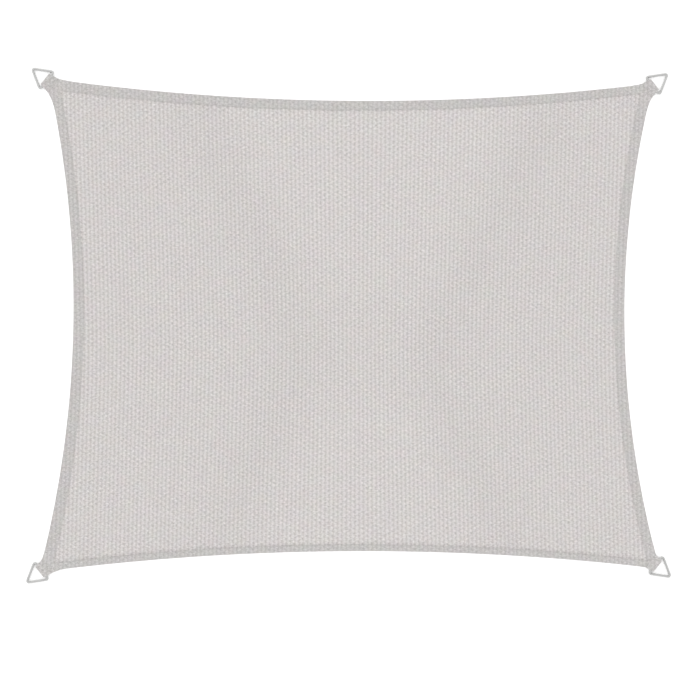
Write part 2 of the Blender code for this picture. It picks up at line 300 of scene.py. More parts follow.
@dataclass(frozen=True)
class SailPlan:
    """The sail's outline: four bowed edges, and four corners with narrow necks that flare out into them."""

    edges: dict[str, BowedEdge] = field(default_factory=lambda: {
        "top": BowedEdge(Axis.X, +1, 0.9277, 0.0855, 0.0527, 0.0445, 0.0360, 1.25),
        "bottom": BowedEdge(Axis.X, -1, 0.9311, 0.0590, 0.0483, 0.0290, 0.0270, 1.25),
        "left": BowedEdge(Axis.Y, -1, 1.1358, 0.0773, 0.1172, 0.0480, 0.0380, 1.00),
        "right": BowedEdge(Axis.Y, +1, 1.1388, 0.0475, 0.1311, 0.0410, 0.0420, 1.00),
    })
    corners: dict[str, SailCorner] = field(default_factory=lambda: {
        "top_left": SailCorner("left", "top", -1.2443, 1.0107, 141.1, 0.135, 0.0050),
        "top_right": SailCorner("right", "top", 1.2544, 0.9886, 38.9, 0.115, 0.0052),
        "bottom_left": SailCorner("left", "bottom", -1.2666, -1.0108, 218.8, 0.110, 0.0045),
        "bottom_right": SailCorner("right", "bottom", 1.2666, -0.9869, -38.9, 0.085, 0.0048),
    })
    neck_at: float = 0.025  # distance in from the bar where the corner's fold begins
    half_width_at_bar: float = 0.0295
    neck_taper: float = 0.19  # how much wider the neck gets, each side, for each metre further in
    lift: float = 0.0020  # how far a corner lies up on its own turned end
    lift_level_to: float = 0.055
    lift_gone_at: float = 0.125

    def neck_half_width(self, inward: float) -> float:
        """Half the neck's width this far in from the bar."""
        return self.half_width_at_bar + self.neck_taper * inward

    def corner_of(self, edge_name: str, high_end: bool) -> SailCorner:
        """The corner at one end of an edge.

        Args:
            edge_name: the edge's name.
            high_end: True for the end with the greater X or Y.

        Returns:
            The corner.
        """
        axis = self.edges[edge_name].axis.value
        return next(
            corner for corner in self.corners.values()
            if edge_name in (corner.side, corner.end) and ((corner.x, corner.y)[axis] > 0) == high_end
        )

    def flare_curve(self, edge: BowedEdge, corner: SailCorner) -> Curve:
        """The curve that joins a corner's neck to a bowed edge.

        Args:
            edge: the bowed edge.
            corner: the corner at one of its ends.

        Returns:
            The curve's start on the neck, the point that pulls it, and its end on the bowed line.
        """
        outward = edge.in_plan(0.0, edge.outward)
        side = 1 if corner.sideways_of(corner.x + outward[0], corner.y + outward[1]) > 0 else -1
        start = corner.at(self.neck_at, side * self.neck_half_width(self.neck_at))
        further = corner.at(self.neck_at + 1, side * self.neck_half_width(self.neck_at + 1))
        dx, dy = further[0] - start[0], further[1] - start[1]
        place = corner.x if edge.axis is Axis.X else corner.y
        end_along = place - corner.flare if place > 0 else place + corner.flare
        across, slope = edge.bow(end_along)
        end = edge.in_plan(end_along, across)
        ex, ey = edge.in_plan(1.0, slope)
        reach = ((end[0] - start[0]) * ey - (end[1] - start[1]) * ex) / (dx * ey - dy * ex)
        return start, (start[0] + reach * dx, start[1] + reach * dy), end

    @staticmethod
    def on_curve(curve: Curve, share: float) -> Point:
        """The point at this share of a flare curve."""
        return lerp(lerp(curve[0], curve[1], share), lerp(curve[1], curve[2], share), share)

    def curve_share(self, edge: BowedEdge, curve: Curve, along: float) -> float:
        """Where on a flare curve a place along an edge falls.

        Args:
            edge: the bowed edge.
            curve: the flare curve at one of its ends.
            along: the place.

        Returns:
            The share of the curve: 0 at the neck, and 1 on the bowed line.
        """
        axis = edge.axis.value
        if (along - curve[2][axis]) * (curve[0][axis] - curve[2][axis]) <= 0:
            return 1.0
        low, high = 0.0, 1.0
        for _ in range(HALVINGS):
            middle = (low + high) / 2
            inside = (self.on_curve(curve, middle)[axis] - along) * (curve[0][axis] - curve[2][axis]) < 0
            low, high = (low, middle) if inside else (middle, high)
        return (low + high) / 2

    def border(self, edge_name: str, along: float) -> Point:
        """The cloth's outer border beside a place along an edge.

        Args:
            edge_name: the edge's name.
            along: the place.

        Returns:
            X and Y.
        """
        edge = self.edges[edge_name]
        curve = self.flare_curve(edge, self.corner_of(edge_name, along > 0))
        share = self.curve_share(edge, curve, along)
        if share < 1.0:
            return self.on_curve(curve, share)
        return edge.in_plan(along, edge.bow(along)[0])

    def hem_point(self, edge_name: str, along: float, depth: float) -> Point:
        """A point of a hem, from its border at depth 0 to its inner line at depth 1."""
        edge = self.edges[edge_name]
        return lerp(self.border(edge_name, along), edge.inset(along, edge.hem_width(along)), depth)

    def crossing(self, corner: SailCorner, outside: float = 0.0) -> Point:
        """Where two hems' inner lines meet.

        Args:
            corner: the corner at which they meet.
            outside: how far outside the inner lines to look instead.

        Returns:
            The place along the edge that runs along X, and the place along the one that runs along Y.
        """
        end, side = self.edges[corner.end], self.edges[corner.side]
        x, y = side.outward * side.middle, end.outward * end.middle
        for _ in range(CROSSING_STEPS):
            p = end.inset(x, end.hem_width(x) - outside)
            q = side.inset(y, side.hem_width(y) - outside)
            x, y = x + q[0] - p[0], y + p[1] - q[1]
        return x, y

    def hem_ends(self, edge_name: str, outside: float = 0.0) -> Point:
        """The low and the high place along an edge where its hem's inner line meets the next hems'."""
        axis = self.edges[edge_name].axis.value
        return tuple(self.crossing(self.corner_of(edge_name, end), outside)[axis] for end in (False, True))

    def corner_lift(self, x: float, y: float) -> float:
        """How far the cloth's underside is up from the floor because of a corner's turned end."""
        past = min(corner.distance(x, y) for corner in self.corners.values()) - self.lift_level_to
        return self.lift * (1 - smooth(past / (self.lift_gone_at - self.lift_level_to)))


@dataclass(frozen=True)
class Trough:
    """A soft fold across the panel: X and Y of its waist, and its sideways run for each metre from there."""

    waist_x: float
    waist_y: float
    lean: float

    def beside(self, x: float, y: float) -> float:
        """How far to the right of the trough's line a point is."""
        return x - self.waist_x - self.lean * run_from(self.waist_y, y)


@dataclass(frozen=True)
class SoftFolds:
    """The panel's low swells, parted by two troughs that lean in to a waist."""

    troughs: tuple[Trough, ...] = (Trough(-0.20, -0.10, -0.47), Trough(0.37, -0.18, 0.47))
    height: float = 0.006  # how far the cloth lies clear of the floor between the troughs
    trough_half_width: float = 0.085
    margin: float = 0.22  # share of the panel over which the swell fades out towards a hem
    painted_shade_half_width: float = 0.12  # half width of the painted shade along a trough
    painted_light_from: float = 0.28  # distance from the troughs, and from their waists, at which the painted light is full
    # Painted light in the middle between the troughs, as a negative painted shade.
    middle_painted_light: float = -0.9

    def in_troughs(self, x: float, y: float, half_width: float) -> float:
        """1 on the line of a trough, and less on both sides of it."""
        return sum(exp(-((trough.beside(x, y) / half_width) ** 2)) for trough in self.troughs)

    def painted_shading(self, x: float, y: float) -> float:
        """Painted shade and light on the knit's tone, along the soft folds.

        Args:
            x: X of the point.
            y: Y of the point.

        Returns:
            1 of painted shade in a trough, 0 beside it, and less than 0, painted light, in the middle
            between the troughs.
        """
        left, right = self.troughs
        tight = self.in_troughs(x, y, self.painted_shade_half_width)
        between = smooth(left.beside(x, y) / self.painted_light_from) * smooth(-right.beside(x, y) / self.painted_light_from)
        return tight + self.middle_painted_light * between * smooth(run_from(left.waist_y, y) / self.painted_light_from)

    def swell(self, x: float, y: float, s: float, t: float) -> float:
        """Height of the cloth's underside at a point, s of the way across the panel and t of the way up."""
        fade = smooth(min(s, 1 - s) / self.margin) * smooth(min(t, 1 - t) / self.margin)
        return self.height * fade * max(0.0, 1 - self.in_troughs(x, y, self.trough_half_width))


@dataclass(frozen=True)
class Knit:
    """Where the knit's ribs and loops run: up the sail, drawn in a little to a waist across its middle."""

    rib_pitch: float = 0.01665
    course: float = 0.0220  # a rib's sway to one side and back
    centre_x: float = 0.026
    waist_y: float = -0.080
    lean: float = 0.0275  # sideways run of a rib for each metre away from the waist
    lean_from: float = 0.25  # distance from the centre line at which the ribs lean fully

    def rib_x(self, rib: float, y: float) -> float:
        """X of a rib, counted from the centre line, at this place up the sail."""
        offset, lean = rib * self.rib_pitch, self.lean * run_from(self.waist_y, y)
        return self.centre_x + offset + lean * tanh(offset / self.lean_from)

    def coordinates(self, x: float, y: float) -> Point:
        """The knit's own coordinates of a point.

        Args:
            x: X of the point.
            y: Y of the point.

        Returns:
            Its place across, counted in ribs, and its place up, counted in courses.
        """
        lean = self.lean * run_from(self.waist_y, y)
        offset = x - self.centre_x
        for _ in range(LEAN_STEPS):
            offset = x - self.centre_x - lean * tanh(offset / self.lean_from)
        return offset / self.rib_pitch, y / self.course


# ---- cloth ----
def write_knit_map(bm: Mesh, places: dict[Vert, Point]) -> None:
    """Writes each point's knit coordinates to the mesh's own map.

    Args:
        bm: the mesh.
        places: the knit coordinates of each of its points.
    """
    layer = bm.loops.layers.uv.verify()
    for face in bm.faces:
        for loop in face.loops:
            loop[layer].uv = places[loop.vert]


def new_grid(name: str, columns: int, rows: int) -> Object:
    """Adds a flat grid, 1 m across, to be shaped into a cloth.

    Args:
        name: the piece's name.
        columns: how many cells it has across.
        rows: how many it has up.

    Returns:
        The grid, with a map for the knit.
    """
    operator = bpy.ops.mesh.primitive_grid_add
    grid = add_object(name, operator, x_subdivisions=columns, y_subdivisions=rows, size=1)
    grid.data.uv_layers[0].name = "knit"
    return grid


@dataclass(frozen=True)
class SailPanel(Piece):
    """The knitted panel. Its cells follow the ribs, which stand up, and its edges lie inside the hem."""

    plan: SailPlan
    folds: SoftFolds
    knit: Knit
    ribs_each_side: int = 74
    cells_per_rib: int = 4
    rows: int = 64
    thickness: float = 0.0011
    clearance: float = 0.0004  # of the panel's underside above the hem's
    rib_relief: float = 0.00045
    tuck: float = 0.5  # share of the hem's width that the panel's edge is left outside of

    def place(self, rib: float, share: float) -> Point:
        """A point of the panel.

        Args:
            rib: the rib that it is on.
            share: its share of the way up the panel.

        Returns:
            X and Y.
        """
        x = self.knit.rib_x(rib, 0.0)
        low, high = (self.plan.edges[name].under_hem(x, self.tuck) for name in ("bottom", "top"))
        y = low + (high - low) * share
        return self.knit.rib_x(rib, y), y

    def is_outside(self, x: float, y: float) -> bool:
        """True past the line that the panel's side edges keep to, inside the side hems."""
        left, right = (self.plan.edges[name].under_hem(y, self.tuck) for name in ("left", "right"))
        return not left < x < right

    def height(self, x: float, y: float, rib: float) -> float:
        """Height of the panel's underside, with its folds and its ribs.

        Args:
            x: X of the point.
            y: Y of the point.
            rib: its place across the knit, counted in ribs.

        Returns:
            The height in metres.
        """
        left, right = (self.plan.edges[name].under_hem(y, 1.0) for name in ("left", "right"))
        low, high = (self.plan.edges[name].under_hem(x, 1.0) for name in ("bottom", "top"))
        swell = self.folds.swell(x, y, (x - left) / (right - left), (y - low) / (high - low))
        ridge = self.rib_relief * (1 - cos(2 * pi * rib)) / 2
        return self.clearance + max(self.plan.corner_lift(x, y), swell) + ridge

    def build(self) -> Object:
        """Models the panel.

        Returns:
            A closed sheet with its modifiers applied.
        """
        columns = 2 * self.ribs_each_side * self.cells_per_rib
        panel = new_grid("sail_panel", columns, self.rows)
        bm = bmesh.new()
        bm.from_mesh(panel.data)
        painted_shading = bm.verts.layers.float.new("painted_shading")
        places, outside = {}, []
        for vert in bm.verts:
            rib = round(vert.co.x * columns) / self.cells_per_rib
            x, y = self.place(rib, vert.co.y + 0.5)
            vert.co = (x, y, self.height(x, y, rib))
            # Painted shade along the troughs and painted light between them, for the material to read.
            vert[painted_shading] = self.folds.painted_shading(x, y)
            places[vert] = (rib, y / self.knit.course)
            if self.is_outside(x, y):
                outside.append(vert)
        write_knit_map(bm, places)
        bmesh.ops.delete(bm, geom=outside, context="VERTS")
        bm.to_mesh(panel.data)
        bm.free()
        panel.data.shade_smooth()
        add_modifier(panel, "sheet thickness", "SOLIDIFY", thickness=self.thickness, offset=1)
        apply_modifiers(panel)
        return panel


@dataclass(frozen=True)
class SailHem(Piece):
    """The hem, turned over and sewn down all round, and the four corners folded round the wires' bars."""

    plan: SailPlan
    knit: Knit
    columns: int = 240
    rows: int = 192
    # Where the hem's rows of points lie: shares of its width, from the fold to the sewn edge.
    depths: tuple[float, ...] = (
        0, 0.03, 0.08, 0.15, 0.22, 0.32, 0.44, 0.56, 0.68, 0.78, 0.86, 0.91, 0.95, 1,
    )
    neck_cells: int = 4  # of those, how many meet half of a corner's end
    hem_thickness: float = 0.0028
    cloth_thickness: float = 0.0015
    edge_shape: tuple[float, ...] = (0.66, 0.86, 0.97)  # share of the thickness at the first rows
    groove_row: int = 11  # the row that the stitches pull down
    groove_depth: float = 0.80  # share of the thickness that is left there
    pucker: float = 0.07  # share of the thickness that the sewn cloth rises and falls by
    pucker_length: float = 0.037
    long_pucker: float = 1.71  # a second, longer pucker's length, as a multiple
    border_painted_shade: tuple[float, ...] = (2.6, 2.0, 0.6)  # painted shade at the first rows, along the hem's turned border
    # Painted shade from the stitched groove to the hem's sewn edge.
    groove_painted_shade: float = 0.3
    corner_painted_light: float = 1.1  # painted light where a corner's cloth is lifted, in shares of the full painted shade
    rises_at: float = 0.017  # distance in from the bar about which the cloth bends up to pass over it
    slope_steps: int = 8
    arc_steps: int = 16
    turned_steps: int = 4
    wire_radius: float = 0.0046
    bar_clearance: float = 0.00035
    turned_end_at: float = 0.038  # how far in from the bar the turned end reaches
    turned_half_width: float = 0.025
    rim_bevel: float = 0.0005
    rim_angle: float = 60.0  # degrees: what bends more is a rim

    @property
    def cells(self) -> int:
        """How many cells wide the hem is."""
        return len(self.depths) - 1

    @property
    def bar_height(self) -> float:
        """Height of the bar's axis, which lies on the turned end."""
        return self.cloth_thickness + self.bar_clearance + self.wire_radius

    def corner_border(self, corner: SailCorner, edge_name: str, along: float, share: float) -> Point:
        """A point of a corner's border, between the middle of its neck and a place along an edge.

        Args:
            corner: the corner.
            edge_name: the edge's name.
            along: the place.
            share: 0 at the neck and 1 beside the place.

        Returns:
            X and Y.
        """
        neck_share = self.depths[self.neck_cells]
        edge = self.plan.edges[edge_name]
        curve = self.plan.flare_curve(edge, corner)
        if share <= neck_share:
            return lerp(corner.at(self.plan.neck_at, 0), curve[0], share / neck_share)
        last = self.plan.curve_share(edge, curve, along)
        return self.plan.on_curve(curve, last * (share - neck_share) / (1 - neck_share))

    def corner_place(self, corner: SailCorner, s: float, t: float) -> Point:
        """A point where two hems meet, filled in between the neck, the border and the two hems' ends.

        Args:
            corner: the corner.
            s: from 0 at the side's border to 1 inside, along the end edge.
            t: the same, along the side edge.

        Returns:
            X and Y.
        """
        across, up = self.plan.crossing(corner)
        end, side = (corner.end, across), (corner.side, up)
        # The four sides at this place, each with its weight, less the four corners, which they share.
        weighted = (
            (1 - t, self.corner_border(corner, *end, s)),
            (t, self.plan.hem_point(*side, s)),
            (1 - s, self.corner_border(corner, *side, t)),
            (s, self.plan.hem_point(*end, t)),
            (-(1 - s) * (1 - t), self.corner_border(corner, *end, 0)),
            (-s * (1 - t), self.corner_border(corner, *end, 1)),
            (-(1 - s) * t, self.plan.hem_point(*side, 0)),
            (-s * t, self.plan.hem_point(*side, 1)),
        )
        return tuple(sum(weight * point[k] for weight, point in weighted) for k in (0, 1))

    def shape(self, in_column: int, in_row: int, run: float) -> float:
        """Share of the hem's thickness at one of its points.

        Args:
            in_column: how many columns it is in from the nearest side.
            in_row: how many rows it is in from the nearest end.
            run: the distance along the hem, for its puckers.

        Returns:
            The share, from 0 to 1.
        """
        nearest, other = min(in_column, in_row), max(in_column, in_row)
        if nearest == 0 and other <= self.neck_cells:
            return self.cloth_thickness / self.hem_thickness
        if nearest < len(self.edge_shape):
            return self.edge_shape[nearest]
        if nearest == self.groove_row:
            return self.groove_depth
        turns = 2 * pi * run / self.pucker_length
        return 1 - self.pucker * (0.5 + (sin(turns) + sin(turns / self.long_pucker + nearest)) / 4)

    def painted_shading(self, in_column: int, in_row: int) -> float:
        """The painted shade on the knit's tone at one of the hem's points.

        Args:
            in_column: how many columns it is in from the nearest side.
            in_row: how many rows it is in from the nearest end.

        Returns:
            The painted shade: most along the turned border, some from the stitched groove to the sewn edge,
                and 0 where the cloth lies flat.
        """
        nearest = min(in_column, in_row)
        if nearest < len(self.border_painted_shade) and max(in_column, in_row) > self.neck_cells:
            return self.border_painted_shade[nearest]
        return self.groove_painted_shade if nearest >= self.groove_row else 0.0

    def fold_path(self, slack: float) -> list[Point]:
        """The cloth's inner face from the neck, over the bar, round it and back under.

        Args:
            slack: how far the fold stands off the bar.

        Returns:
            For each row its distance in from the bar, and its height.
        """
        radius = self.wire_radius + self.bar_clearance
        start, turn = (self.plan.neck_at, self.plan.lift), (self.rises_at, self.plan.lift)
        drop = self.plan.lift - self.bar_height
        leaves = atan2(drop, turn[0]) + acos(radius / hypot(turn[0], drop))
        touch = (radius * cos(leaves), self.bar_height + radius * sin(leaves))
        rise = (start, turn, touch)
        path = [self.plan.on_curve(rise, (step + 1) / self.slope_steps) for step in range(self.slope_steps)]
        for step in range(self.arc_steps + 1):
            angle = pi / 2 + pi * step / self.arc_steps
            path.append((radius * cos(angle) - slack, self.bar_height + radius * sin(angle)))
        for step in range(self.turned_steps):
            path.append((self.turned_end_at * (step + 1) / self.turned_steps, self.cloth_thickness))
        return path

    def fold_corner(
        self,
        bm: Mesh,
        corner: SailCorner,
        edges: list[bmesh.types.BMEdge],
        places: dict[Vert, Point],
    ) -> None:
        """Extrudes the end of a corner row by row round its bar and back under the sail.

        Args:
            bm: the hem's mesh.
            corner: the corner.
            edges: the edges of its end.
            places: the knit coordinates of each point, which this adds to.
        """
        half_width = self.plan.neck_half_width(self.plan.neck_at)
        last = (self.plan.neck_at, self.plan.lift)
        travelled, passed_bar = 0.0, False
        for inward, height in self.fold_path(corner.slack):
            travelled += hypot(inward - last[0], height - last[1])
            last = (inward, height)
            passed_bar = passed_bar or inward < 0
            turned = passed_bar and inward > 0
            new_half_width = self.turned_half_width if turned else self.plan.neck_half_width(inward)
            made = bmesh.ops.extrude_edge_only(bm, edges=edges)["geom"]
            edges = [item for item in made if isinstance(item, bmesh.types.BMEdge)]
            for vert in (item for item in made if isinstance(item, Vert)):
                sideways = corner.sideways_of(vert.co.x, vert.co.y) / half_width * new_half_width
                vert.co = (*corner.at(inward, sideways), height)
                places[vert] = self.knit.coordinates(*corner.at(self.plan.neck_at - travelled, sideways))
            half_width = new_half_width

    def build(self) -> Object:
        """Models the hem.

        Returns:
            A closed band with its modifiers applied.
        """
        columns, rows = self.columns + 2 * self.cells, self.rows + 2 * self.cells
        hem = new_grid("sail_hem", columns, rows)
        bm = bmesh.new()
        bm.from_mesh(hem.data)
        weights = bm.verts.layers.deform.verify()
        painted_shading = bm.verts.layers.float.new("painted_shading")
        at, places, shares, inner, along = {}, {}, {}, [], {}
        for name, edge in self.plan.edges.items():
            low, high = self.plan.hem_ends(name)
            count = self.columns if edge.axis is Axis.X else self.rows
            along[name] = [low + (high - low) * (cell / count) for cell in range(count + 1)]
        for vert in bm.verts:
            column, row = round((vert.co.x + 0.5) * columns), round((vert.co.y + 0.5) * rows)
            in_column, in_row = min(column, columns - column), min(row, rows - row)
            if in_column > self.cells and in_row > self.cells:
                inner.append(vert)
                continue
            end = "top" if row > rows / 2 else "bottom"
            side = "right" if column > columns / 2 else "left"
            if in_column <= self.cells and in_row <= self.cells:
                corner = self.plan.corners[f"{end}_{side}"]
                x, y = self.corner_place(corner, self.depths[in_column], self.depths[in_row])
            elif in_row <= self.cells:
                x, y = self.plan.hem_point(end, along[end][column - self.cells], self.depths[in_row])
            else:
                x, y = self.plan.hem_point(side, along[side][row - self.cells], self.depths[in_column])
            lift = self.plan.corner_lift(x, y)
            vert.co = (x, y, lift)
            # Painted shade along the turned border and from the groove in, and painted light where a corner
            # is lifted.
            vert[painted_shading] = self.painted_shading(in_column, in_row) - self.corner_painted_light * lift / self.plan.lift
            at[column, row] = vert
            places[vert] = self.knit.coordinates(x, y)
            shares[vert] = self.shape(in_column, in_row, x if in_row <= self.cells else y)
        bmesh.ops.delete(bm, geom=inner, context="VERTS")
        for corner in self.plan.corners.values():
            column, row = (columns if corner.x > 0 else 0), (rows if corner.y > 0 else 0)
            ends = [at[abs(column - cell), row] for cell in range(self.neck_cells, 0, -1)]
            ends += [at[column, abs(row - cell)] for cell in range(self.neck_cells + 1)]
            edges = [bm.edges.get(pair) for pair in zip(ends, ends[1:])]
            self.fold_corner(bm, corner, edges, places)
        bmesh.ops.recalc_face_normals(bm, faces=bm.faces)
        if at[columns // 2, 0].link_faces[0].normal.z < 0:
            bmesh.ops.reverse_faces(bm, faces=bm.faces)
        write_knit_map(bm, places)
        group = hem.vertex_groups.new(name="thickness")
        for vert in bm.verts:
            vert[weights][group.index] = shares.get(vert, self.cloth_thickness / self.hem_thickness)
        bm.to_mesh(hem.data)
        bm.free()
        hem.data.shade_smooth()
        add_modifier(
            hem, "hem thickness", "SOLIDIFY", thickness=self.hem_thickness, offset=1,
            vertex_group=group.name, use_even_offset=True,
        )
        add_modifier(
            hem, "rounded rims", "BEVEL", width=self.rim_bevel, segments=2, limit_method="ANGLE",
            angle_limit=radians(self.rim_angle),
        )
        apply_modifiers(hem)
        return hem


@dataclass(frozen=True)
class HemStitching(Piece):
    """Lockstitches: a row along the hem's sewn edge, and two across each corner's turned end."""

    plan: SailPlan
    hem: SailHem
    from_edge: float = 0.0036  # distance of the row from the hem's sewn edge
    thread_radius: float = 0.00045
    stitch_length: float = 0.0065
    stitch_pitch: float = 0.0080
    sink: float = 0.0006  # how far both ends of a stitch dip into the cloth
    bends_at: Point = (0.18, 0.82)  # shares of a stitch between which it lies level
    across_at: tuple[float, ...] = (0.029, 0.034)  # distance in from the bar of the rows across a corner
    side_margin: float = 0.004
    point_spacing: float = 0.02
    sharp_from: float = 50.0  # degrees

    def stitch(self) -> Object:
        """Models one stitch along X: a six-sided thread whose ends bend down into the cloth.

        Returns:
            A mesh with both ends closed.
        """
        stitch = add_object(
            "hem_stitches", bpy.ops.mesh.primitive_cylinder_add, vertices=6, radius=self.thread_radius,
            depth=self.stitch_length, rotation=(0, pi / 2, 0), location=(self.stitch_length / 2, 0, 0),
        )
        bpy.ops.object.transform_apply(location=True, rotation=True, scale=True)
        bpy.ops.object.mode_set(mode="EDIT")
        for share in self.bends_at:
            bpy.ops.mesh.select_all(action="SELECT")
            bpy.ops.mesh.bisect(plane_co=(self.stitch_length * share, 0, 0), plane_no=(1, 0, 0))
        bpy.ops.mesh.select_all(action="DESELECT")
        bpy.ops.object.mode_set(mode="OBJECT")
        for vert in stitch.data.vertices:
            vert.select = min(vert.co.x, self.stitch_length - vert.co.x) < self.thread_radius
        bpy.ops.object.mode_set(mode="EDIT")
        bpy.ops.transform.translate(value=(0, 0, -self.sink))
        bpy.ops.object.mode_set(mode="OBJECT")
        return stitch

    def row(self, places: list[Place]) -> Object:
        """Repeats the stitch along a line.

        Args:
            places: points of the line.

        Returns:
            The row as one mesh.
        """
        path = bpy.data.curves.new("stitch_path", "CURVE")
        assign(path, dimensions="3D", twist_mode="Z_UP")
        spline = path.splines.new("POLY")
        spline.points.add(len(places) - 1)
        for point, place in zip(spline.points, places):
            point.co = (*place, 1)
        guide = bpy.data.objects.new("stitch_path", path)
        bpy.context.scene.collection.objects.link(guide)
        stitch = self.stitch()
        length = sum((Vector(b) - Vector(a)).length for a, b in zip(places, places[1:]))
        add_modifier(
            stitch, "stitches", "ARRAY", use_relative_offset=False, use_constant_offset=True,
            constant_offset_displace=(self.stitch_pitch, 0, 0), count=int(length / self.stitch_pitch),
        )
        add_modifier(stitch, "along the hem", "CURVE", object=guide)
        apply_modifiers(stitch)
        bpy.data.objects.remove(guide, do_unlink=True)
        return stitch

    def side_line(self, edge_name: str) -> list[Place]:
        """The line of the row along one edge's hem, down in its groove.

        Args:
            edge_name: the edge's name.

        Returns:
            Points of the line.
        """
        edge = self.plan.edges[edge_name]
        low, high = self.plan.hem_ends(edge_name, self.from_edge)
        count = ceil((high - low) / self.point_spacing)
        places = []
        for step in range(count + 1):
            along = low + (high - low) * step / count
            x, y = edge.inset(along, edge.hem_width(along) - self.from_edge)
            height = self.plan.corner_lift(x, y) + self.hem.hem_thickness * self.hem.groove_depth
            places.append((x, y, height + self.thread_radius))
        return places

    def corner_line(self, corner: SailCorner, inward: float) -> list[Place]:
        """The line of a row across a corner, over its turned end.

        Args:
            corner: the corner.
            inward: how far in from the bar the row is.

        Returns:
            Both ends of the line.
        """
        reach = self.plan.neck_half_width(inward) - self.side_margin
        height = self.plan.lift + self.hem.hem_thickness + self.thread_radius
        return [(*corner.at(inward, side * reach), height) for side in (-1, 1)]

    def build(self) -> Object:
        """Models all the rows.

        Returns:
            One mesh.
        """
        rows = [self.row(self.side_line(name)) for name in self.plan.edges]
        for corner in self.plan.corners.values():
            rows += [self.row(self.corner_line(corner, inward)) for inward in self.across_at]
        bpy.ops.object.select_all(action="DESELECT")
        for row in rows:
            row.select_set(True)
        bpy.context.view_layer.objects.active = rows[0]
        bpy.ops.object.join()
        bpy.ops.object.shade_smooth_by_angle(angle=radians(self.sharp_from))
        return rows[0]


# ---- wire triangles ----
@dataclass(frozen=True)
class WireTriangle(Piece):
    """A triangle bent from round wire. Its bar lies in a corner's fold, and its tip is down on the floor."""

    side: float = 0.0925  # between the points where the wire's straight centre lines would meet
    bend_radius: float = 0.0060
    wire_radius: float = 0.0046
    wire_sides: int = 24
    bend_steps: int = 12
    weld: float = 0.00002

    def build(self, name: str, corner: SailCorner, bar_height: float) -> Object:
        """Models one triangle: a round section, drawn along the bars and spun round the bends.

        Args:
            name: the piece's name.
            corner: the corner that it hangs in.
            bar_height: height of its bar's axis.

        Returns:
            A closed mesh in its place.
        """
        straight = self.side - 2 * self.bend_radius * sqrt(3)
        to_centre = self.side / (2 * sqrt(3))
        tip_distance = self.side / sqrt(3) - 2 * self.bend_radius
        triangle = add_object(
            name, bpy.ops.mesh.primitive_circle_add, vertices=self.wire_sides, radius=self.wire_radius,
            location=(0, straight / 2, 0), rotation=(pi / 2, 0, 0),
        )
        bpy.ops.object.transform_apply(location=True, rotation=True, scale=True)
        bpy.ops.object.mode_set(mode="EDIT")
        bpy.ops.mesh.select_all(action="SELECT")
        for bend in range(3):
            heading = -pi / 2 + 2 * pi * bend / 3
            bpy.ops.mesh.extrude_region_move(
                TRANSFORM_OT_translate={"value": (straight * cos(heading), straight * sin(heading), 0)}
            )
            towards = 2 * pi * (bend + 2) / 3
            centre = (to_centre + tip_distance * cos(towards), tip_distance * sin(towards), 0)
            bpy.ops.mesh.spin(
                steps=self.bend_steps, angle=-2 * pi / 3, center=centre, axis=(0, 0, 1), use_auto_merge=False
            )
        bpy.ops.mesh.select_all(action="SELECT")
        bpy.ops.mesh.remove_doubles(threshold=self.weld)
        bpy.ops.mesh.normals_make_consistent(inside=False)
        bpy.ops.object.mode_set(mode="OBJECT")
        to_apex = self.side * sqrt(3) / 2 - self.bend_radius
        droop = atan2(bar_height - self.wire_radius, to_apex)
        turn = Matrix.Rotation(radians(corner.heading), 4, "Z") @ Matrix.Rotation(droop, 4, "Y")
        triangle.data.transform(Matrix.Translation((corner.x, corner.y, bar_height)) @ turn)
        triangle.data.shade_smooth()
        return triangle


